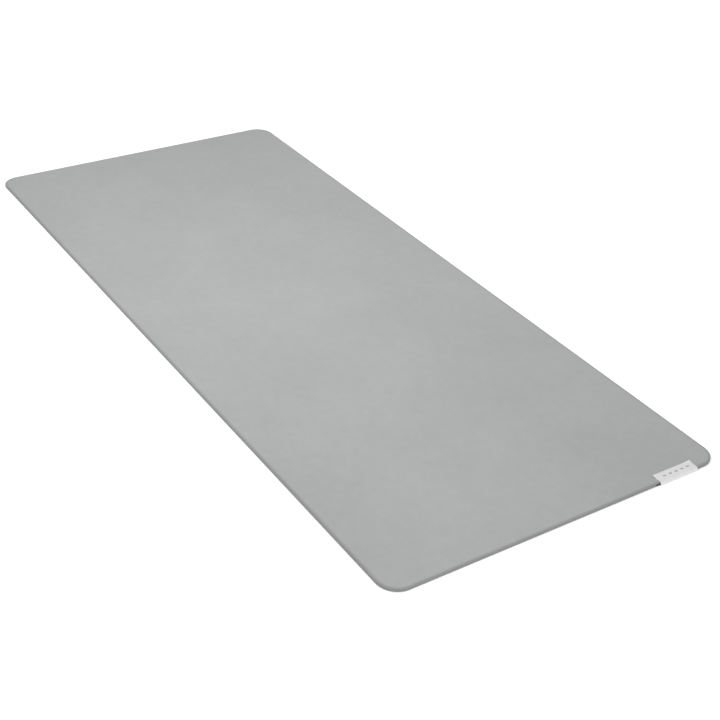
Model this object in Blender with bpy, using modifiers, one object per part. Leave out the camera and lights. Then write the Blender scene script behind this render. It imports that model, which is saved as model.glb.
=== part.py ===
"""Extended desk mat: cloth laminated on rubber foam, with a folded ribbon label over one short edge.

Units are metres. The origin is the centre of the mat's underside. +X runs along the mat towards the
short edge that carries the label, +Y across it towards the long edge nearest the label, and +Z up.

The mat is one laminate cut out in one stroke, so its layers share one outline. In the real mat the
layers touch. Here a clearance stands in each glue line, and the layers give up that much thickness,
so that the mat keeps its full thickness.
"""

from math import cos, pi, sin

import bpy

# The mat
MAT_LENGTH = 0.940
MAT_WIDTH = 0.410
MAT_THICKNESS = 0.003
CORNER_RADIUS = 0.022
CLEARANCE = 0.00025          # left between neighbouring layers

# The layers, from the top down: what is left over goes to the foam core
CLOTH_THICKNESS = 0.00055
FILM_THICKNESS = 0.0001
GRIP_THICKNESS = 0.0005
FILM_INSET = 0.0005          # the adhesive film stops this far inside the cut edge

# Rounding of the cut edges
CLOTH_ROUNDING = 0.00025
FOAM_ROUNDING = 0.0001
GRIP_ROUNDING = 0.00015
LABEL_ROUNDING = 0.0001
ROUNDING_STEPS = 2

# The folded ribbon label over the edge at +X
LABEL_LENGTH = 0.051         # along the short edge
LABEL_CENTRE_Y = 0.1475
LABEL_FLAP = 0.0125          # how far each flap reaches onto the mat
LABEL_THICKNESS = 0.0004
LABEL_GROUND_GAP = 0.00005   # the lower flap stays this far above the desk
LABEL_TOP_BEND = 0.0006      # inner radius of the fold over the cloth
LABEL_LOW_BEND = 0.0003      # inner radius of the fold under the grip skin
LABEL_STAND_OFF = 0.0004     # from the mat's edge to the ribbon, at the fold over the cloth
LABEL_FLARE = 28 * pi / 180  # the fold's front leans out by this much towards the desk
LABEL_POCKET_GAP = 0.0004    # free space around the lower flap in the grip skin

CORNER_STEPS = 14
BEND_STEPS = 6
WELD_DISTANCE = 0.00001
SHARP_ANGLE = 30 * pi / 180

# Colour (linear RGB) and roughness of each material
FINISHES = {
    "woven_cloth": ((0.36, 0.37, 0.365), 0.92),
    "adhesive_film": ((0.42, 0.415, 0.395), 0.50),
    "rubber_foam": ((0.29, 0.297, 0.297), 0.90),
    "grip_rubber": ((0.24, 0.246, 0.246), 0.80),
    "label_ribbon": ((0.68, 0.688, 0.68), 0.60),
}


def clear_scene():
    for item in list(bpy.data.objects):
        bpy.data.objects.remove(item, do_unlink=True)


def make_collection(name):
    collection = bpy.data.collections.new(name)
    bpy.context.scene.collection.children.link(collection)
    return collection


def make_material(name):
    colour, roughness = FINISHES[name]
    material = bpy.data.materials.new(name)
    material.use_nodes = True
    shader = material.node_tree.nodes["Principled BSDF"]
    shader.inputs["Base Color"].default_value = (*colour, 1.0)
    shader.inputs["Roughness"].default_value = roughness
    shader.inputs["Metallic"].default_value = 0.0
    return material


def arc(centre, radius, start, turn, steps):
    """Points on an arc about a centre, from the angle start through the angle turn."""
    angles = [start + turn * step / steps for step in range(steps + 1)]
    return [(centre[0] + radius * cos(a), centre[1] + radius * sin(a)) for a in angles]


def rounded_outline(inset=0.0):
    """The mat's outline from above, counter-clockwise from the corner at +X, -Y."""
    half_length = MAT_LENGTH / 2 - CORNER_RADIUS
    half_width = MAT_WIDTH / 2 - CORNER_RADIUS
    centres = [(half_length, -half_width), (half_length, half_width),
               (-half_length, half_width), (-half_length, -half_width)]
    points = []
    for quarter, centre in enumerate(centres):
        start = (quarter - 1) * pi / 2
        points += arc(centre, CORNER_RADIUS - inset, start, pi / 2, CORNER_STEPS)
    return points


def notched_outline():
    """The mat's outline with a pocket in the edge at +X, in which the label's lower flap lies."""
    edge = MAT_LENGTH / 2
    floor = edge - LABEL_FLAP - LABEL_POCKET_GAP
    reach = LABEL_LENGTH / 2 + LABEL_POCKET_GAP
    pocket = [(edge, LABEL_CENTRE_Y - reach), (floor, LABEL_CENTRE_Y - reach),
              (floor, LABEL_CENTRE_Y + reach), (edge, LABEL_CENTRE_Y + reach)]
    outline = rounded_outline()
    first_corner = CORNER_STEPS + 1
    return outline[:first_corner] + pocket + outline[first_corner:]


def label_face(offset):
    """One face of the folded label from the side, as (x, z): offset 0 is the face against the mat."""
    upper = MAT_THICKNESS + CLEARANCE
    lower = LABEL_GROUND_GAP + LABEL_THICKNESS
    flap_end = MAT_LENGTH / 2 - LABEL_FLAP
    top_x, top_z = MAT_LENGTH / 2 + LABEL_STAND_OFF - LABEL_TOP_BEND, upper - LABEL_TOP_BEND
    low_z = lower + LABEL_LOW_BEND
    # the front is a straight line that touches both bends
    spread = (top_z - low_z) * sin(LABEL_FLARE) + LABEL_TOP_BEND - LABEL_LOW_BEND
    low_x = top_x + spread / cos(LABEL_FLARE)
    over = arc((top_x, top_z), LABEL_TOP_BEND + offset, pi / 2, LABEL_FLARE - pi / 2, BEND_STEPS)
    under = arc((low_x, low_z), LABEL_LOW_BEND + offset, LABEL_FLARE, -LABEL_FLARE - pi / 2, BEND_STEPS)
    return [(flap_end, upper + offset)] + over + under + [(flap_end, lower - offset)]


def label_outline():
    """The folded label's outline from the side, as (x, z), counter-clockwise."""
    return label_face(0.0) + label_face(LABEL_THICKNESS)[::-1]


def make_cut_sheet(name, outline, thickness, rounding, material, collection):
    """A flat piece cut to an outline, with its thickness centred on the outline's plane."""
    curve = bpy.data.curves.new(name, "CURVE")
    curve.dimensions = "2D"
    curve.fill_mode = "BOTH"
    curve.extrude = thickness / 2
    spline = curve.splines.new("POLY")
    spline.points.add(len(outline) - 1)
    for point, (x, y) in zip(spline.points, outline):
        point.co = (x, y, 0.0, 1.0)
    spline.use_cyclic_u = True
    curve.materials.append(material)

    sheet = bpy.data.objects.new(name, curve)
    collection.objects.link(sheet)
    weld = sheet.modifiers.new("join_caps", "WELD")
    weld.merge_threshold = WELD_DISTANCE
    if rounding:
        bevel = sheet.modifiers.new("soft_edge", "BEVEL")
        bevel.width = rounding
        bevel.segments = ROUNDING_STEPS
        bevel.limit_method = "ANGLE"
        bevel.angle_limit = SHARP_ANGLE
    return sheet


def make_layer(name, outline, bottom, thickness, rounding, material, collection):
    """A layer of the mat, lying flat with its underside at the height bottom."""
    layer = make_cut_sheet(name, outline, thickness, rounding, material, collection)
    layer.location = (0.0, 0.0, bottom + thickness / 2)


def make_label(name, material, collection):
    """The ribbon folded over the mat's edge: its side view stood upright and pulled along the edge."""
    label = make_cut_sheet(name, label_outline(), LABEL_LENGTH, LABEL_ROUNDING, material, collection)
    label.rotation_euler = (pi / 2, 0.0, 0.0)
    label.location = (0.0, LABEL_CENTRE_Y, 0.0)


def build():
    clear_scene()
    mat = make_collection("desk_mat")
    materials = {name: make_material(name) for name in FINISHES}

    cloth_bottom = MAT_THICKNESS - CLOTH_THICKNESS
    film_bottom = cloth_bottom - CLEARANCE - FILM_THICKNESS
    foam_top = film_bottom - CLEARANCE
    foam_bottom = GRIP_THICKNESS + CLEARANCE

    make_layer("grip_skin", notched_outline(), 0.0, GRIP_THICKNESS, GRIP_ROUNDING,
               materials["grip_rubber"], mat)
    make_layer("foam_core", rounded_outline(), foam_bottom, foam_top - foam_bottom, FOAM_ROUNDING,
               materials["rubber_foam"], mat)
    make_layer("bond_film", rounded_outline(FILM_INSET), film_bottom, FILM_THICKNESS, 0.0,
               materials["adhesive_film"], mat)
    make_layer("top_cloth", rounded_outline(), cloth_bottom, CLOTH_THICKNESS, CLOTH_ROUNDING,
               materials["woven_cloth"], mat)
    make_label("edge_label", materials["label_ribbon"], mat)


build()
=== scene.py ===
"""Desk mat: cloth face on rubber foam with a moulded grip underside and a folded ribbon label.

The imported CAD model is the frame. Every layer is rebuilt here as a detailed mesh on the same body,
in metres: +X points to the short edge that carries the label, +Z up, the underside lies at z = 0.
"""

from math import cos, pi, radians, sin

import bpy
import numpy as np
from mathutils import Matrix, Vector


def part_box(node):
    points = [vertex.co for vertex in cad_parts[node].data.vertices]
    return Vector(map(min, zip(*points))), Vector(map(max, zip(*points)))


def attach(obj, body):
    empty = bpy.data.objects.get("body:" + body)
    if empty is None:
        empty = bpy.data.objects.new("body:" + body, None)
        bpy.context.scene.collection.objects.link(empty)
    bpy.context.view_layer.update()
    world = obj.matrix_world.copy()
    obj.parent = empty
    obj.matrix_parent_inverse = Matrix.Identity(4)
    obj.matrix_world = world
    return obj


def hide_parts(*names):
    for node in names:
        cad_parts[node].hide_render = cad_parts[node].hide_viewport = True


MM = 0.001
BODY = "root"

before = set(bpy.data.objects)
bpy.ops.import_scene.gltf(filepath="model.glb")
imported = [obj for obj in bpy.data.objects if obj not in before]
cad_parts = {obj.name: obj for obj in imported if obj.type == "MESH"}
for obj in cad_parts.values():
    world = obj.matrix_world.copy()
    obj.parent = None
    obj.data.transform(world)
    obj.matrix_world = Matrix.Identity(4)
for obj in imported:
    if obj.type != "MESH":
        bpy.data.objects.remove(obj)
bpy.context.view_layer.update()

# ---------------------------------------------------------------- places, from the CAD nodes
cloth_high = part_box("top_cloth")[1]
grip_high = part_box("grip_skin")[1]
label_low, label_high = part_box("edge_label")
HALF_X, HALF_Y = cloth_high.x, cloth_high.y
MAT_TOP = cloth_high.z
GRIP_TOP = grip_high.z
LABEL_Y = (label_low.y + label_high.y) / 2
LABEL_HALF = (label_high.y - label_low.y) / 2
LABEL_FRONT = label_high.x
FLAP_END = label_low.x

# ---------------------------------------------------------------- sizes
CORNER_RADIUS = 22 * MM
CORNER_STEPS = 16

CLOTH_THICK = 0.50 * MM
FILM_THICK = 0.08 * MM
SEAM = 0.015 * MM                # left between glued layers, so that no faces coincide
SHOULDER_WIDTH = 3.3 * MM        # the pressed border where the laminate thins towards the cut
SHOULDER_DROP = 0.75 * MM
SHOULDER_POWER = 2.0
CUT_ROUNDING = 0.22 * MM         # radius of the cloth's cut rim
BURIED_RINGS = (0.8, 2.4, 4.0, 6.0, 8.0, 10.0, 12.0, 14.0, 16.0)   # mm in, where foam and skin meet
FOAM_HOLLOW = 0.13 * MM          # the foam's cut side is drawn in by this much halfway up

RIB_PITCH = 10 * MM              # grip pattern on the underside: wavy ribs with grooves between them
RIB_RELIEF = 0.30 * MM
GROOVE_FLOOR = 3.2 * MM          # width of a groove's flat floor
GROOVE_FLANK = 0.8 * MM
RIB_SWAY = 2.5 * MM
RIB_WAVE = 40 * MM
RIB_STRAIGHT = 14 * MM           # the ribs run straight this far in from the edge, then begin to sway
RIB_BORDER = 6 * MM              # plain border round the pattern
RIB_FADE = 3 * MM                # over which the grooves run out
FLAP_ROOM = 0.45 * MM            # the underside rises by this much over the label's lower flap
FLAP_SOFT = 1.0 * MM             # and comes down again over this distance
FOAM_MARGIN = 0.4 * MM           # the foam gives way this much further round the flap than the skin
SQUEEZE_DEPTH = 2.4 * MM         # the foam's side is squeezed back by this much behind the ribbon
SQUEEZE_REACH = 8 * MM           # how far in from the edge the foam gives way
SQUEEZE_SOFT = 2.0 * MM          # how gently it does so at each end of the ribbon
SQUEEZE_BEYOND = 5.0 * MM        # and how far beyond the ribbon's end at -Y it starts

LABEL_THICK = 0.32 * MM
LABEL_TOP = MAT_TOP + LABEL_THICK + 0.03 * MM
LABEL_LIFT = 0.06 * MM           # the lower flap stays this far above the desk
LABEL_FLARE = radians(28)        # the fold's front leans out by this much towards the desk
LABEL_TOP_BEND = 0.62 * MM       # radii of the ribbon's middle line in its two bends
LABEL_LOW_BEND = 0.46 * MM
FLAP_STEPS, BEND_STEPS, FRONT_STEPS = 12, 10, 6   # mesh rows along the ribbon
LABEL_SKEW = 0.9 * MM            # the ribbon is folded askew: its front and lower flap lie this far to -Y
CORNER_CURL = 0.7 * MM           # lift of the upper flap's free corners
CURL_UNEVEN = 0.3                # one corner lifts this share more, the other less
CURL_FROM = 0.72                 # share of the way from the label's middle to its end where the lift begins
CURL_REACH = 7 * MM              # how far from the flap's end it goes
HEAT_CUT = 0.985                 # beyond this share of the way, the ribbon's ends are thinned by the heat cut
HEAT_THINNING = 0.45
ACROSS_STEPS = 56                # mesh columns along the edge
FLAP_Y = LABEL_Y - LABEL_SKEW    # middle of the lower flap
MARK_COUNT = 5
MARK_PITCH = 7.9 * MM
MARK_SHIFT = 1.4 * MM            # the row of marks sits this far off the label's middle
MARK_LENGTH = 5.0 * MM
MARK_WIDTH = 3.0 * MM
MARK_SIDES = 24
MARK_BULGE = 1.25                # 1 would give straight-sided lozenges, 2 ellipses
MARK_THICK = 0.03 * MM
MARK_GAP = 0.004 * MM            # left under the ink, so that no faces coincide

# ---------------------------------------------------------------- camera and light
CAMERA_PLACE = (1.1638, -0.7420, 0.8134)
CAMERA_AIM = (0.1357, -0.0171, 0.0)
CAMERA_LENS = 67.12
CAMERA_ROLL = radians(3.70)
WORLD_LIGHT = 0.85
SOFTBOXES = {                    # name: place, size, watts
    "softbox_over_the_middle": ((-0.058, -0.103, 0.65), (0.12, 0.15), 1.62),
    "softbox_over_the_near_end": ((0.523, -0.113, 0.25), (0.39, 0.10), 0.13),
}
FLOOR_PAINT = 0.955
FLOOR_GLOW = 0.22                # keeps the desk white right up to the mat, as on a light table
FLOOR_REACH = 60.0
FLOOR_GAP = 0.02 * MM            # the floor lies this far below the mat


# ---------------------------------------------------------------- mesh helpers
class Outline:
    """The mat's rounded outline, as points that can be set in from the cut edge by up to the corner radius.
    They lie closer together at the ends of the label, where its ribbon draws the edge in."""

    def __init__(self, step_x, step_y, more_ys=()):
        a, b = HALF_X - CORNER_RADIUS, HALF_Y - CORNER_RADIUS
        self.nx = round(2 * a / step_x)
        self.xs = np.linspace(-a, a, self.nx + 1)
        even = np.linspace(-b, b, round(2 * b / step_y) + 1)
        steps = np.arange(-1, 5) * SQUEEZE_SOFT / 3
        ends = [FLAP_Y - LABEL_HALF - SQUEEZE_BEYOND + steps, FLAP_Y + LABEL_HALF - steps]
        more = [y for y in more_ys if abs(y) < b]
        self.ys = np.unique(np.concatenate([even, more] + ends).round(6))
        self.ny = len(self.ys) - 1
        corners = [(1, -1), (1, 1), (-1, 1), (-1, -1)]
        base, out, cell = [], [], []
        for quarter, (sx, sy) in enumerate(corners):
            start = (quarter - 1) * pi / 2
            for step in range(CORNER_STEPS):
                angle = start + pi / 2 * step / CORNER_STEPS
                base.append((sx * a, sy * b))
                out.append((cos(angle), sin(angle)))
                cell.append((self.nx * (sx > 0), self.ny * (sy > 0)))
            normal = (cos(start + pi / 2), sin(start + pi / 2))
            along_y = quarter % 2 == 0
            count = self.ny if along_y else self.nx
            for k in range(count):
                if along_y:
                    i, j = self.nx * (sx > 0), k if sy < 0 else self.ny - k
                else:
                    i, j = self.nx - k if sx > 0 else k, self.ny * (sy > 0)
                base.append((self.xs[i], self.ys[j]))
                out.append(normal)
                cell.append((i, j))
        self.base, self.out = np.array(base), np.array(out)
        self.cell = [j * (self.nx + 1) + i for i, j in cell]
        self.count = len(base)

    def ring(self, inset):
        return self.base + (CORNER_RADIUS - inset) * self.out

    def grid(self):
        x, y = np.meshgrid(self.xs, self.ys)
        return np.column_stack([x.ravel(), y.ravel()])


def smooth_mesh(name, points, faces, crease):
    """A mesh shaded smooth, except where two faces meet at more than the angle crease."""
    mesh = bpy.data.meshes.new(name)
    mesh.from_pydata(points, [], faces)
    mesh.validate()
    mesh.shade_smooth()
    mesh.set_sharp_from_angle(angle=crease)
    return mesh


def layer_mesh(name, outline, profile, top_grid=False, bottom_grid=False, shape=None, squeezed=False):
    """A layer of the mat. profile is a list of (inset, z) from the top face round the cut edge to the
    underside. A face with a grid is meshed to its middle, and a hidden one is closed by one polygon.
    shape(x, y, inset, z) gives the points their final y and z. A squeezed layer gives way behind the
    ribbon. The mesh keeps each point's inset, rise and share of the squeeze, for the materials."""
    n = outline.count
    points, faces, inset_of = [], [], []
    rings = []
    for inset, z in profile:
        xy = outline.ring(inset)
        rings.append(range(len(points), len(points) + n))
        points += [(x, y, z) for x, y in xy]
        inset_of += [inset] * n

    def close(ring, z, as_grid, flip):
        if not as_grid:
            loop = list(ring)
            faces.append(loop[::-1] if flip else loop)
            return
        first = len(points)
        xy = outline.grid()
        points.extend((x, y, z) for x, y in xy)
        inset_of.extend([CORNER_RADIUS] * len(xy))
        wide = outline.nx + 1
        for j in range(outline.ny):
            for i in range(outline.nx):
                a = first + j * wide + i
                quad = [a, a + 1, a + wide + 1, a + wide]
                faces.append(quad[::-1] if flip else quad)
        inner = [first + c for c in outline.cell]
        for k in range(n):
            m = (k + 1) % n
            quad = [ring[k], ring[m], inner[m], inner[k]]
            if inner[m] == inner[k]:
                quad = quad[:3]
            faces.append(quad[::-1] if flip else quad)

    for upper, lower in zip(rings, rings[1:]):
        for k in range(n):
            m = (k + 1) % n
            faces.append([upper[k], lower[k], lower[m], upper[m]])
    close(rings[0], profile[0][1], top_grid, False)
    close(rings[-1], profile[-1][1], bottom_grid, True)

    co, inset = np.array(points), np.array(inset_of)
    pressed = squeeze(co[:, 0], co[:, 1])
    if squeezed:
        co[:, 0] -= pressed
    flat_z = co[:, 2].copy()
    if shape is not None:
        co[:, 1], co[:, 2] = shape(co[:, 0], co[:, 1].copy(), inset, flat_z)
    mesh = smooth_mesh(name, co.tolist(), faces, crease=radians(40))
    measured = {"inset_mm": inset / MM,
                "raised_mm": (co[:, 2] - flat_z) / MM,
                "pressed": pressed / SQUEEZE_DEPTH}
    for label, values in measured.items():
        attribute = mesh.attributes.new(label, "FLOAT", "POINT")
        attribute.data.foreach_set("value", values.astype(np.float32))
    return mesh


def add_piece(name, mesh, material, slot, *nodes):
    piece = bpy.data.objects.new(name, mesh)
    bpy.context.scene.collection.objects.link(piece)
    mesh.materials.append(material)
    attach(piece, BODY)
    if nodes:
        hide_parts(*nodes)
    return piece


def shoulder(inset):
    """How far the top of the laminate lies below its full height, at a distance in from the cut edge."""
    return SHOULDER_DROP * max(0.0, 1 - inset / SHOULDER_WIDTH) ** SHOULDER_POWER


def sunken_face(insets, depth):
    """Profile points of a face that lies a depth below the mat's top and sinks with it to the cut edge. The
    insets are in mm."""
    return [(s * MM, MAT_TOP - shoulder(s * MM) - depth) for s in insets]


def smoothstep(value):
    value = np.clip(value, 0.0, 1.0)
    return value * value * (3 - 2 * value)


def flap_room(x, y, margin=0.0):
    """How far the underside is pushed up by the label's lower flap, in a pocket made larger by a margin."""
    along = smoothstep((x - (FLAP_END - FLAP_SOFT - margin)) / FLAP_SOFT)
    across = smoothstep((LABEL_HALF + FLAP_SOFT + margin - np.abs(y - FLAP_Y)) / FLAP_SOFT)
    return FLAP_ROOM * along * across


def pocket_lines(margin=0.0):
    """The lines across the mat that the two end walls of that pocket need."""
    reach = LABEL_HALF + margin
    return [FLAP_Y + side * (reach + FLAP_SOFT * k / 3) for side in (-1, 1) for k in range(4)]


def squeeze(x, y):
    """How far the foam's side at +X is squeezed back by the ribbon folded round the edge."""
    along = smoothstep((x - (HALF_X - SQUEEZE_REACH)) / SQUEEZE_REACH)
    low_end = smoothstep((LABEL_HALF + SQUEEZE_BEYOND + y - FLAP_Y) / SQUEEZE_SOFT)
    high_end = smoothstep((LABEL_HALF - y + FLAP_Y) / SQUEEZE_SOFT)
    return SQUEEZE_DEPTH * along * low_end * high_end


# ---------------------------------------------------------------- materials
class Shader:
    """A Principled material with short-hands for the procedural nodes that feed it. sockets are the names of
    its inputs, with _ for each space."""

    def __init__(self, name, **sockets):
        self.material = bpy.data.materials.new(name)
        self.material.use_nodes = True
        self.tree = self.material.node_tree
        self.surface = self.tree.nodes["Principled BSDF"]
        for socket, value in sockets.items():
            self.surface.inputs[socket.replace("_", " ")].default_value = value
        self.place = self.tree.nodes.new("ShaderNodeTexCoord").outputs["Object"]

    def node(self, kind, inputs=(), **settings):
        node = self.tree.nodes.new(kind)
        for key, value in settings.items():
            setattr(node, key, value)
        for socket, value in dict(inputs).items():
            if isinstance(value, bpy.types.NodeSocket):
                self.tree.links.new(value, node.inputs[socket])
            else:
                node.inputs[socket].default_value = value
        return node

    def noise(self, size, detail=2.0, rough=0.5, stretch=(1, 1, 1), move=(0, 0, 0)):
        """Noise whose blobs are about size metres across, from 0 to 1 around 0.5."""
        scale = tuple(s / size for s in stretch)
        spot = self.node("ShaderNodeMapping", {"Vector": self.place, "Scale": scale, "Location": move})
        return self.node("ShaderNodeTexNoise", {"Vector": spot.outputs[0], "Scale": 1.0, "Detail": detail,
                                                "Roughness": rough}).outputs[0]

    def bands(self, axis, pitch, distortion=0.0, detail_scale=1.0):
        """Smooth ridges across an axis, pitch metres apart."""
        scale = 2 * pi / (20 * pitch)
        return self.node("ShaderNodeTexWave", {"Vector": self.place, "Scale": scale, "Distortion": distortion,
                                               "Detail": 1.0, "Detail Scale": detail_scale},
                         wave_type="BANDS", bands_direction=axis, wave_profile="SIN").outputs["Fac"]

    def math(self, operation, first, second=0.0, third=0.0):
        return self.node("ShaderNodeMath", {0: first, 1: second, 2: third}, operation=operation).outputs[0]

    def spread(self, value, low, high, from_low=0.3, from_high=0.7):
        """value, which runs from from_low to from_high, spread from low to high."""
        return self.node("ShaderNodeMapRange", {"Value": value, "From Min": from_low, "From Max": from_high,
                                                "To Min": low, "To Max": high}).outputs[0]

    def attribute(self, name):
        return self.node("ShaderNodeAttribute", attribute_name=name).outputs["Fac"]

    def tint(self, colour, *shares):
        """The base colour, times each share."""
        share = shares[0]
        for other in shares[1:]:
            share = self.math("MULTIPLY", share, other)
        scaled = self.node("ShaderNodeVectorMath", {0: colour, "Scale": share}, operation="SCALE").outputs[0]
        self.tree.links.new(scaled, self.surface.inputs["Base Color"])

    def bump(self, *heights):
        """Bump from (height, distance in metres, strength) one over the other."""
        normal = None
        for height, distance, strength in heights:
            inputs = {"Height": height, "Distance": distance, "Strength": strength}
            if normal is not None:
                inputs["Normal"] = normal
            normal = self.node("ShaderNodeBump", inputs).outputs["Normal"]
        self.tree.links.new(normal, self.surface.inputs["Normal"])

    def rough(self, value):
        self.tree.links.new(value, self.surface.inputs["Roughness"])


def cloth_material():
    s = Shader("woven_cloth", Sheen_Weight=0.2, Sheen_Roughness=0.50, Specular_IOR_Level=0.25)
    warp = s.bands("X", 0.46 * MM, 1.2, 0.6)
    weft = s.bands("Y", 0.50 * MM, 1.2, 0.6)
    over = s.math("MULTIPLY", s.math("SUBTRACT", warp, 0.5), s.math("SUBTRACT", weft, 0.5))
    weave = s.spread(over, 0.0, 1.0, -0.25, 0.25)
    fuzz = s.noise(0.35 * MM, 2.0, 0.6)
    cloud = s.noise(90 * MM, 2.0, 0.5, move=(3.1, 7.7, 0.4))
    patch = s.noise(11 * MM, 3.0, 0.6)
    grain = s.noise(1.6 * MM, 2.0, 0.6)
    # painted shade: the cloth darkens to 0.69 towards its cut rim, standing in for the shade on the shoulder
    # as it sinks to the cut
    rim = s.spread(s.attribute("inset_mm"), 0.69, 1.0, 0.3, 3.7)
    # painted shadow: within 1.6 mm of the cut, the cloth is darkened where the foam is squeezed back,
    # standing in for the shadow of the folded ribbon
    near_cut = s.spread(s.attribute("inset_mm"), 0.45, 0.0, 0.2, 1.6)
    label_shadow = s.math("MULTIPLY_ADD", s.math("MULTIPLY", near_cut, s.attribute("pressed")), -1.0, 1.0)
    s.tint((0.360, 0.3685, 0.3642), s.spread(cloud, 0.975, 1.025), s.spread(patch, 0.975, 1.025),
           s.spread(grain, 0.97, 1.03), s.spread(weave, 0.95, 1.05, 0.0, 1.0), rim, label_shadow)
    s.rough(s.spread(fuzz, 0.80, 0.95))
    s.bump((weave, 0.10 * MM, 0.35), (fuzz, 0.08 * MM, 0.35), (grain, 0.10 * MM, 0.20))
    return s.material


def foam_material():
    s = Shader("rubber_foam", Roughness=0.9, Specular_IOR_Level=0.3)
    cells = s.node("ShaderNodeTexVoronoi", {"Vector": s.place, "Scale": 1 / (0.45 * MM), "Randomness": 1.0})
    pore = s.spread(cells.outputs["Distance"], 0.0, 1.0, 0.05, 0.55)
    dust = s.noise(2.5 * MM, 3.0, 0.6)
    # painted shade: the foam is darkened to a tenth where it is squeezed back behind the ribbon, standing in
    # for the shade in that hollow
    squeeze_shade = s.spread(s.attribute("pressed"), 1.0, 0.10, 0.0, 1.0)
    s.tint((0.290, 0.297, 0.297), s.spread(pore, 0.90, 1.03, 0.0, 1.0), s.spread(dust, 0.95, 1.05), squeeze_shade)
    s.rough(s.spread(dust, 0.85, 0.95))
    s.bump((pore, 0.10 * MM, 0.5), (dust, 0.15 * MM, 0.3))
    return s.material


def film_material():
    s = Shader("adhesive_film", Roughness=0.5)
    smear = s.noise(3 * MM, 3.0, 0.6)
    s.tint((0.42, 0.415, 0.395), s.spread(smear, 0.92, 1.06))
    s.rough(s.spread(smear, 0.40, 0.60))
    s.bump((smear, 0.03 * MM, 0.3))
    return s.material


def grip_material():
    s = Shader("grip_rubber", Roughness=0.8, Specular_IOR_Level=0.4)
    pebble = s.node("ShaderNodeTexVoronoi", {"Vector": s.place, "Scale": 1 / (0.7 * MM), "Randomness": 1.0})
    grain = s.noise(0.4 * MM, 3.0, 0.6)
    cloud = s.noise(60 * MM, 3.0, 0.5)
    # painted shade: the skin is darkened where the foam above it is squeezed back, standing in for the shade
    # on its ledge in that hollow
    squeeze_shade = s.spread(s.attribute("pressed"), 1.0, 0.15, 0.0, 1.0)
    # painted shade: the underside is darkened as it rises into the grooves and the pocket over the label's
    # flap, standing in for the shade in these recesses
    groove = s.spread(s.attribute("raised_mm"), 1.06, 0.80, 0.02, 0.28)
    s.tint((0.240, 0.246, 0.246), s.spread(cloud, 0.95, 1.05), s.spread(grain, 0.95, 1.05), squeeze_shade, groove)
    s.rough(s.spread(grain, 0.68, 0.86))
    s.bump((pebble.outputs["Distance"], 0.10 * MM, 0.45), (grain, 0.05 * MM, 0.35))
    return s.material


def label_material():
    s = Shader("label_ribbon", Sheen_Weight=0.15, Sheen_Roughness=0.35, Specular_IOR_Level=0.4)
    rib = s.bands("Y", 0.42 * MM, 0.5, 0.5)
    pick = s.bands("X", 0.30 * MM, 0.5, 0.5)
    over = s.math("MULTIPLY", s.math("SUBTRACT", rib, 0.5), s.math("SUBTRACT", pick, 0.5))
    weave = s.spread(over, 0.0, 1.0, -0.25, 0.25)
    slub = s.noise(1.2 * MM, 2.0, 0.6, stretch=(1, 0.2, 1))
    cloud = s.noise(5 * MM, 2.0, 0.6)
    along = s.node("ShaderNodeSeparateXYZ", {"Vector": s.place}).outputs["X"]
    # painted light: the ribbon lightens by up to 14 % from just inside the cut edge out over its front fold,
    # standing in for the light falling on the fold
    front_light = s.spread(along, 1.0, 1.14, HALF_X - 0.6 * MM, HALF_X + 0.8 * MM)
    s.tint((0.680, 0.688, 0.680), s.spread(weave, 0.97, 1.03, 0.0, 1.0), s.spread(slub, 0.97, 1.03),
           s.spread(cloud, 0.97, 1.03), front_light)
    s.rough(s.spread(slub, 0.50, 0.68))
    s.bump((weave, 0.05 * MM, 0.4), (slub, 0.08 * MM, 0.3))
    return s.material


def print_material():
    s = Shader("label_print", Roughness=0.6)
    wear = s.noise(0.8 * MM, 3.0, 0.6)
    s.tint((0.390, 0.396, 0.396), s.spread(wear, 0.85, 1.15))
    s.rough(s.spread(wear, 0.50, 0.70))
    s.bump((wear, 0.02 * MM, 0.4))
    return s.material


def floor_material():
    s = Shader("studio_floor", Roughness=0.9, Specular_IOR_Level=0.0)
    sweep = s.noise(300 * MM, 2.0, 0.5)
    s.tint((FLOOR_PAINT, FLOOR_PAINT, FLOOR_PAINT), s.spread(sweep, 0.99, 1.0))
    s.surface.inputs["Emission Color"].default_value = (1.0, 1.0, 1.0, 1.0)
    s.surface.inputs["Emission Strength"].default_value = FLOOR_GLOW
    return s.material


# ---------------------------------------------------------------- the layers
def make_cloth():
    """The cloth face: flat, then sinking over the pressed border to its cut rim."""
    outline = Outline(step_x=4 * MM, step_y=4 * MM)
    insets = (17, 12, 8, 5.5, 4.4, 3.8, 3.2, 2.8, 2.4, 2.0, 1.6, 1.2, 0.9, 0.65, 0.45)
    profile = sunken_face(insets, depth=0.0)
    rim_top = MAT_TOP - shoulder(CUT_ROUNDING)
    for step in range(5):
        angle = pi / 2 * step / 4
        profile.append((CUT_ROUNDING * (1 - sin(angle)), rim_top - CUT_ROUNDING * (1 - cos(angle))))
    foot = rim_top - CLOTH_THICK
    profile += [(0.03 * MM, foot + 0.05 * MM), (0.10 * MM, foot)]
    profile += sunken_face((0.65, 1.2, 2.0, 2.8, 3.6, 6.0), CLOTH_THICK)
    mesh = layer_mesh("cloth_face", outline, profile, top_grid=True)
    piece = add_piece("cloth_face", mesh, cloth_material(), "woven_cloth", "top_cloth")


def make_film():
    """The laminating adhesive, which just shows as a thin line in the cut edge."""
    outline = Outline(step_x=20 * MM, step_y=20 * MM)
    insets = (6.0, 3.6, 2.8, 2.0, 1.2, 0.65, 0.14)
    depth = CLOTH_THICK + SEAM
    profile = sunken_face(insets, depth) + sunken_face(insets[::-1], depth + FILM_THICK)
    mesh = layer_mesh("film_layer", outline, profile, squeezed=True)
    add_piece("film_layer", mesh, film_material(), "adhesive_film", "bond_film")


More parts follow.
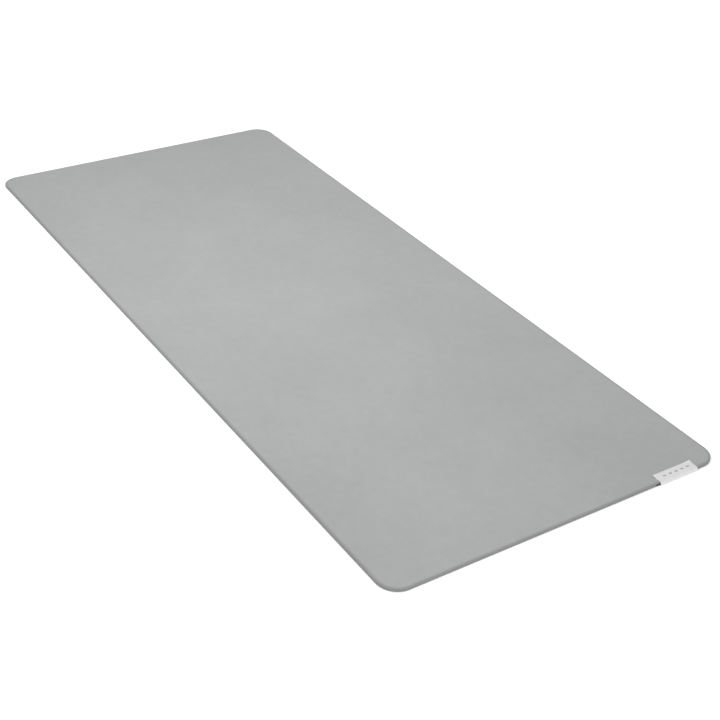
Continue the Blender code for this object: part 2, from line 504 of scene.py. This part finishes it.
def make_foam():
    """The foam core, its cut side drawn in a little between cloth and grip skin."""
    outline = Outline(step_x=8 * MM, step_y=1.5 * MM, more_ys=pocket_lines(FOAM_MARGIN))
    depth = CLOTH_THICK + FILM_THICK + 2 * SEAM
    profile = sunken_face((6.0, 3.6, 2.8, 2.0, 1.2, 0.65), depth)
    high, low = MAT_TOP - SHOULDER_DROP - depth, GRIP_TOP + SEAM
    soft = 0.06 * MM
    profile += [(0.12 * MM, high), (0.05 * MM, high - soft)]
    for step in range(1, 8):
        share = step / 8
        inset = 0.05 * MM + FOAM_HOLLOW * sin(pi * share)
        profile.append((inset, high - soft - share * (high - low - 2 * soft)))
    profile += [(0.04 * MM, low + soft), (0.10 * MM, low)] + [(s * MM, low) for s in BURIED_RINGS]

    def shape(x, y, inset, z):
        beneath = np.clip((high - z) / (high - low), 0.0, 1.0)
        return y, z + flap_room(x, y, FOAM_MARGIN) * beneath

    mesh = layer_mesh("foam_body", outline, profile, shape=shape, squeezed=True)
    piece = add_piece("foam_body", mesh, foam_material(), "rubber_foam", "foam_core")


def groove_lines():
    """The lines along which the flanks of the grooves begin and end, as places across the mat."""
    count = round(HALF_Y / RIB_PITCH) + 1
    middles = (np.arange(-count, count) + 0.5) * RIB_PITCH
    edge = GROOVE_FLOOR / 2
    return np.concatenate([middles + d for d in (-edge - GROOVE_FLANK, -edge, edge, edge + GROOVE_FLANK)])


def make_grip():
    """The grip skin: wavy ribs on the underside inside a plain border, and a pocket for the label's flap."""
    lines = groove_lines()
    outline = Outline(step_x=3 * MM, step_y=RIB_PITCH, more_ys=list(lines) + pocket_lines())
    pocket_rings = [HALF_X - FLAP_END + FLAP_SOFT * k / 3 for k in range(4)]
    groove_rings = [HALF_Y - y for y in lines if RIB_BORDER < HALF_Y - y < CORNER_RADIUS]
    ring_insets = sorted([2 * MM, 4 * MM, RIB_BORDER] + pocket_rings + groove_rings)
    profile = [(s * MM, GRIP_TOP) for s in BURIED_RINGS[::-1]]
    profile += [(0.08 * MM, GRIP_TOP), (0.0, GRIP_TOP - 0.06 * MM), (0.0, 0.14 * MM),
                (0.05 * MM, 0.05 * MM), (0.16 * MM, 0.0), (0.7 * MM, 0.0)]
    profile += [(s, 0.0) for s in ring_insets]

    def shape(x, y, inset, z):
        beneath = z < 0.02 * MM
        from_middle = np.abs(np.mod(y / RIB_PITCH, 1) - 0.5) * RIB_PITCH
        groove = np.clip((GROOVE_FLOOR / 2 + GROOVE_FLANK - from_middle) / GROOVE_FLANK, 0, 1)
        in_corner = np.minimum(np.abs(x) - HALF_X, np.abs(y) - HALF_Y) + CORNER_RADIUS
        fade = smoothstep((inset - RIB_BORDER) / RIB_FADE + 1) * smoothstep(1 - in_corner / RIB_FADE)
        swaying = smoothstep((inset - RIB_STRAIGHT) / (CORNER_RADIUS - RIB_STRAIGHT))
        sway = RIB_SWAY * np.sin(2 * pi * x / RIB_WAVE) * swaying
        y = np.where(beneath, y + sway, y)
        return y, z + flap_room(x, y) + np.where(beneath, RIB_RELIEF * groove * fade, 0.0)

    mesh = layer_mesh("grip_face", outline, profile, bottom_grid=True, shape=shape)
    add_piece("grip_face", mesh, grip_material(), "grip_rubber", "grip_skin")


# ---------------------------------------------------------------- the label
def run(start, end, steps):
    """Points on a straight line, without its last one."""
    start, end = np.array(start), np.array(end)
    return [start + (end - start) * step / steps for step in range(steps)]


def bend(centre, radius, start, end, steps):
    """Points on an arc from one angle to another."""
    angles = np.linspace(start, end, steps + 1)
    return [np.array(centre) + radius * np.array([cos(a), sin(a)]) for a in angles]


def label_line():
    """The ribbon's middle line seen from the side, as (x, z): over the cloth, down the front, and under."""
    high, low = LABEL_TOP - LABEL_THICK / 2, LABEL_LIFT + LABEL_THICK / 2
    top_z, low_z = high - LABEL_TOP_BEND, low + LABEL_LOW_BEND
    low_x = LABEL_FRONT - LABEL_THICK / 2 - LABEL_LOW_BEND
    spread = (top_z - low_z) * sin(LABEL_FLARE) + LABEL_TOP_BEND - LABEL_LOW_BEND
    top_x = low_x - spread / cos(LABEL_FLARE)
    upper = bend((top_x, top_z), LABEL_TOP_BEND, pi / 2, LABEL_FLARE, BEND_STEPS)
    lower = bend((low_x, low_z), LABEL_LOW_BEND, LABEL_FLARE, -pi / 2, BEND_STEPS)
    line = run((FLAP_END, high), upper[0], FLAP_STEPS) + upper[:-1] + run(upper[-1], lower[0], FRONT_STEPS)
    return np.array(line + lower[:-1] + run(lower[-1], (FLAP_END, low), FLAP_STEPS) + [(FLAP_END, low)])


def corner_lift(across, reach):
    """How far the free corners of the upper flap lift off the cloth, one more than the other. across runs
    from -1 to 1 along the label, and reach is the way in metres from the flap's end."""
    curl = CORNER_CURL * (1 + CURL_UNEVEN if across > 0 else 1 - CURL_UNEVEN)
    return curl * smoothstep((abs(across) - CURL_FROM) / (1 - CURL_FROM)) * smoothstep(1 - reach / CURL_REACH)


def label_mesh():
    """The folded ribbon and the length it has when it is laid flat."""
    line = label_line()
    along = np.gradient(line, axis=0)
    along /= np.linalg.norm(along, axis=1)[:, None]
    side = np.column_stack([-along[:, 1], along[:, 0]])
    arc = np.concatenate([[0], np.cumsum(np.linalg.norm(np.diff(line, axis=0), axis=1))])
    flat_length = float(arc[-1])
    # the ribbon runs askew from just before its fold to the foot of its front
    front_start, front_end = arc[FLAP_STEPS - 3], arc[FLAP_STEPS + BEND_STEPS + FRONT_STEPS]
    across = ACROSS_STEPS
    half = LABEL_THICK / 2
    columns = np.linspace(-1, 1, across + 1)
    points, faces = [], []
    rows = len(line)
    for sign in (1, -1):
        for r in range(rows):
            for c in columns:
                thin = 1 - HEAT_THINNING * smoothstep((abs(c) - HEAT_CUT) / (1 - HEAT_CUT))
                x, z = line[r] + side[r] * sign * half * thin
                skew = LABEL_SKEW * smoothstep((arc[r] - front_start) / (front_end - front_start))
                points.append((x, LABEL_Y + c * LABEL_HALF - skew, z + corner_lift(c, arc[r])))
    wide = across + 1
    under = rows * wide
    for r in range(rows - 1):
        for c in range(across):
            a = r * wide + c
            faces.append([a, a + wide, a + wide + 1, a + 1])
            b = a + under
            faces.append([b, b + 1, b + wide + 1, b + wide])
    for r in range(rows - 1):
        a, b = r * wide, (r + 1) * wide
        faces.append([a, a + under, b + under, b])
        a, b = r * wide + across, (r + 1) * wide + across
        faces.append([a, b, b + under, a + under])
    for c in range(across):
        faces.append([c, c + 1, c + 1 + under, c + under])
        a = (rows - 1) * wide + c
        faces.append([a, a + under, a + 1 + under, a + 1])
    return smooth_mesh("ribbon_label", points, faces, crease=radians(50)), flat_length


def mark_mesh():
    """Five small lozenges in a row, with softened rims."""
    centre_x = (FLAP_END + HALF_X) / 2
    points, faces = [], []
    sides = MARK_SIDES
    rings = ((1.0, MARK_GAP), (1.0, 0.6 * MARK_THICK), (0.9, MARK_THICK))
    for k in range(MARK_COUNT):
        centre_y = LABEL_Y + MARK_SHIFT + (k - (MARK_COUNT - 1) / 2) * MARK_PITCH
        first = len(points)
        for scale, height in rings:
            z = LABEL_TOP + height
            for i in range(sides):
                angle = 2 * pi * i / sides
                cx, cy = cos(angle), sin(angle)
                reach = (abs(cx) ** MARK_BULGE + abs(cy) ** MARK_BULGE) ** (-1 / MARK_BULGE)
                x = centre_x + cx * reach * scale * MARK_WIDTH / 2
                y = centre_y + cy * reach * scale * MARK_LENGTH / 2
                points.append((x, y, z + corner_lift((y - LABEL_Y) / LABEL_HALF, x - FLAP_END)))
        for ring in range(2):
            for i in range(sides):
                a, b = first + ring * sides + i, first + ring * sides + (i + 1) % sides
                faces.append([a, b, b + sides, a + sides])
        faces.append([first + 2 * sides + i for i in range(sides)])
        faces.append([first + i for i in range(sides)][::-1])
    return smooth_mesh("label_marks", points, faces, crease=radians(30))


def make_ribbon_and_marks():
    label, flat_length = label_mesh()
    ribbon = add_piece("ribbon_label", label, label_material(), "label_ribbon", "edge_label")
    marks = add_piece("label_marks", mark_mesh(), print_material(), "label_print")


def build_mat():
    make_cloth()
    make_film()
    make_foam()
    make_grip()
    make_ribbon_and_marks()


# ---------------------------------------------------------------- studio
def make_floor():
    mesh = bpy.data.meshes.new("studio_floor")
    r = FLOOR_REACH
    mesh.from_pydata([(-r, -r, 0), (r, -r, 0), (r, r, 0), (-r, r, 0)], [], [(0, 1, 2, 3)])
    floor = bpy.data.objects.new("studio_floor", mesh)
    bpy.context.scene.collection.objects.link(floor)
    floor.location.z = -FLOOR_GAP
    mesh.materials.append(floor_material())


def make_light():
    world = bpy.data.worlds.new("studio")
    world.use_nodes = True
    background = world.node_tree.nodes["Background"]
    background.inputs["Color"].default_value = (1.0, 1.0, 1.0, 1.0)
    background.inputs["Strength"].default_value = WORLD_LIGHT
    bpy.context.scene.world = world
    for name, (place, size, watts) in SOFTBOXES.items():
        lamp = bpy.data.lights.new(name, "AREA")
        lamp.shape = "RECTANGLE"
        lamp.size, lamp.size_y = size
        lamp.energy = watts
        holder = bpy.data.objects.new(name, lamp)
        holder.location = place
        holder.visible_camera = False
        bpy.context.scene.collection.objects.link(holder)


def make_camera():
    camera = bpy.data.objects.new("camera", bpy.data.cameras.new("camera"))
    bpy.context.scene.collection.objects.link(camera)
    camera.data.lens = CAMERA_LENS
    camera.data.sensor_width = 36.0
    camera.data.clip_start, camera.data.clip_end = 0.05, 200.0
    forward = (Vector(CAMERA_AIM) - Vector(CAMERA_PLACE)).normalized()
    right = forward.cross(Vector((0, 0, 1))).normalized()
    up = right.cross(forward)
    rolled_right = cos(CAMERA_ROLL) * right + sin(CAMERA_ROLL) * up
    rolled_up = -sin(CAMERA_ROLL) * right + cos(CAMERA_ROLL) * up
    turn = Matrix((rolled_right, rolled_up, -forward)).transposed()
    camera.matrix_world = Matrix.Translation(CAMERA_PLACE) @ turn.to_4x4()
    bpy.context.scene.camera = camera


make_camera()
build_mat()
make_floor()
make_light()
bpy.context.scene.view_settings.view_transform = "Standard"
